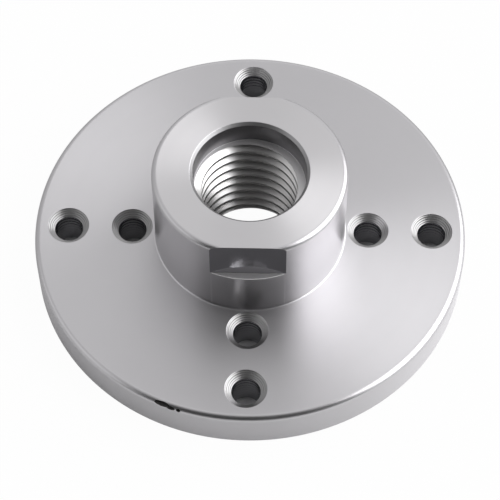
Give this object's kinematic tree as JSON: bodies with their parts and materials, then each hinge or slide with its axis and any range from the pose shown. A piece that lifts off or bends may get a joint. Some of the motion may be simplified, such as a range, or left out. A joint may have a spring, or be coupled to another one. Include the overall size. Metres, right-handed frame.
{
  "type": "lathe faceplate",
  "caption": "Round steel faceplate for a lathe: a threaded hub with spanner flats on a flat plate with a cross of countersunk screw holes.",
  "frame": {"origin": "centre of the flat work face, under the plate", "axes": "+Z along the bore axis from the work face to the end of the hub, X and Y along the arms of the cross of screw holes, the spanner flats facing -Y and +Y"},
  "size_m": [0.1016, 0.1016, 0.0344],
  "materials": {
    "turned_steel": "bright turned steel with fine circular tool marks and a smooth sheen"
  },
  "bodies": {
    "root": {"faceplate": "turned_steel"}
  },
  "joints": []
}
